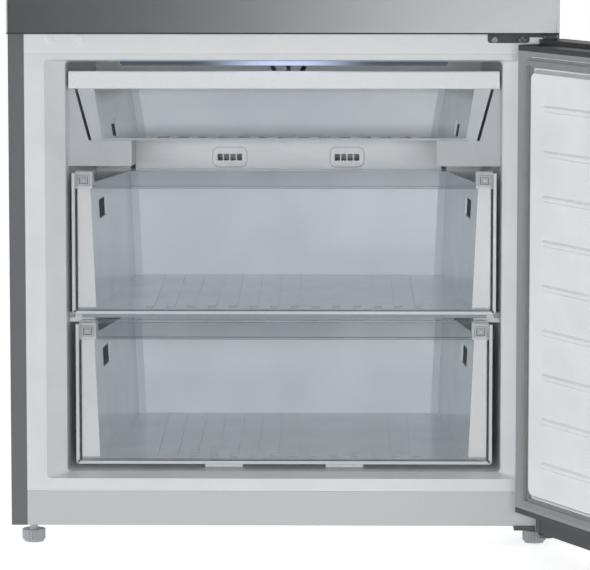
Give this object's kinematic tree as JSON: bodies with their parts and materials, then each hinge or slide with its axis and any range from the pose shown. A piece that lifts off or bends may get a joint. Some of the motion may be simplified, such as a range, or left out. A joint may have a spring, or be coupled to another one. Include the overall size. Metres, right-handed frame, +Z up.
{
  "type": "refrigerator",
  "caption": "Upright refrigerator with a bottom freezer, its freezer door standing open on clear drawers, its upper door closed, both doors hinged on the right.",
  "frame": {"origin": "on the floor under the middle of the cabinet", "axes": "+X to the right seen from the front, +Y to the back, +Z up"},
  "size_m": [1.0146, 1.316, 1.9],
  "materials": {
    "wrap_paint": "satin painted steel sheet",
    "zinc_sheet": "zinc-coated steel sheet",
    "foam": "cut polyurethane foam",
    "liner_white": "thermoformed polystyrene sheet",
    "frame_paint": "light painted steel strip",
    "plug_plastic": "moulded plastic",
    "hinge_steel": "dark painted steel",
    "screw_steel": "plated steel",
    "cap_plastic": "dark moulded plastic",
    "door_steel": "brushed stainless sheet",
    "gasket_rubber": "soft grey seal",
    "bush_plastic": "slippery moulded plastic",
    "clear_plastic": "clear moulded polystyrene",
    "pane_plastic": "clear moulded polystyrene",
    "bar_plastic": "white moulded plastic",
    "white_plastic": "white moulded plastic",
    "coil_aluminium": "bare aluminium",
    "motor_paint": "painted steel can",
    "fan_plastic": "moulded plastic",
    "compressor_paint": "black painted steel",
    "foot_rubber": "black rubber",
    "tray_plastic": "moulded plastic",
    "shelf_glass": "toughened glass",
    "lamp_plastic": "frosted clear plastic",
    "foot_plastic": "light grey moulded plastic",
    "roller_plastic": "hard moulded plastic"
  },
  "bodies": {
    "cabinet": {"outer_wrap": "wrap_paint", "rear_panel": "zinc_sheet", "base_plate": "zinc_sheet", "machine_bulkhead": "zinc_sheet", "cabinet_foam": "foam", "freezer_liner": "liner_white", "fridge_liner": "liner_white", "mullion_trim": "frame_paint", "plinth_strip": "frame_paint", "hinge_hole_plugs": "plug_plastic", "middle_hinge": "hinge_steel", "bottom_hinge": "hinge_steel", "top_hinge": "hinge_steel", "hinge_screws": "screw_steel", "top_hinge_cover": "cap_plastic", "evaporator_cover": "white_plastic", "evaporator_coil": "coil_aluminium", "fan_motor": "motor_paint", "compressor": "compressor_paint", "compressor_grommets": "foot_rubber", "drip_tray": "tray_plastic", "machine_room_cover": "zinc_sheet", "fridge_duct_cover": "white_plastic", "drawer_runners": "liner_white", "shelf_glass": "shelf_glass", "shelf_trims": "white_plastic", "lamp_covers": "lamp_plastic", "crispers": "clear_plastic", "roller_axles": "screw_steel"},
    "upper_door": {"upper_door_skin": "door_steel", "upper_door_bottom_cap": "cap_plastic", "upper_door_top_cap": "cap_plastic", "upper_door_bushes": "bush_plastic", "upper_door_foam": "foam", "upper_door_liner": "liner_white", "upper_door_gasket": "gasket_rubber", "upper_door_grip": "cap_plastic", "upper_door_bins": "clear_plastic"},
    "freezer_door": {"freezer_door_skin": "door_steel", "freezer_door_bottom_cap": "cap_plastic", "freezer_door_top_cap": "cap_plastic", "freezer_door_bushes": "bush_plastic", "freezer_door_foam": "foam", "freezer_door_liner": "liner_white", "freezer_door_gasket": "gasket_rubber", "freezer_door_grip": "cap_plastic"},
    "top_drawer": {"top_drawer_tub": "clear_plastic", "top_drawer_front": "pane_plastic", "top_drawer_bar": "bar_plastic"},
    "middle_drawer": {"middle_drawer_tub": "clear_plastic", "middle_drawer_front": "pane_plastic"},
    "bottom_drawer": {"bottom_drawer_tub": "clear_plastic", "bottom_drawer_front": "pane_plastic"},
    "fan": {"evaporator_fan": "fan_plastic"},
    "left_foot": {"left_foot": "foot_plastic"},
    "right_foot": {"right_foot": "foot_plastic"},
    "left_roller": {"left_roller": "roller_plastic"},
    "right_roller": {"right_roller": "roller_plastic"}
  },
  "joints": [
    {"name": "freezer_door_hinge", "type": "hinge", "parent": "cabinet", "child": "freezer_door", "pos_m": [0.335, -0.372, 0.028], "axis": [0, 0, 1], "range_deg": [-117, 13]},
    {"name": "upper_door_hinge", "type": "hinge", "parent": "cabinet", "child": "upper_door", "pos_m": [0.335, -0.372, 0.6625], "axis": [0, 0, 1], "range_deg": [0, 130]},
    {"name": "top_drawer_slide", "type": "slide", "parent": "cabinet", "child": "top_drawer", "axis": [0, -0.9966, 0.0819], "range_m": [0, 0.28]},
    {"name": "middle_drawer_slide", "type": "slide", "parent": "cabinet", "child": "middle_drawer", "axis": [0, -1, 0], "range_m": [0, 0.3]},
    {"name": "bottom_drawer_slide", "type": "slide", "parent": "cabinet", "child": "bottom_drawer", "axis": [0, -1, 0], "range_m": [0, 0.3]},
    {"name": "fan_spin", "type": "hinge", "parent": "cabinet", "child": "fan", "pos_m": [0, 0.16, 0.55], "axis": [0, 1, 0], "continuous": true},
    {"name": "left_foot_turn", "type": "hinge", "parent": "cabinet", "child": "left_foot", "pos_m": [-0.324, -0.292, 0], "axis": [0, 0, 1], "continuous": true},
    {"name": "right_foot_turn", "type": "hinge", "parent": "cabinet", "child": "right_foot", "pos_m": [0.324, -0.292, 0], "axis": [0, 0, 1], "continuous": true},
    {"name": "left_roller_spin", "type": "hinge", "parent": "cabinet", "child": "left_roller", "pos_m": [-0.3, 0.28, 0.0095], "axis": [1, 0, 0], "continuous": true},
    {"name": "right_roller_spin", "type": "hinge", "parent": "cabinet", "child": "right_roller", "pos_m": [0.3, 0.28, 0.0095], "axis": [1, 0, 0], "continuous": true}
  ]
}
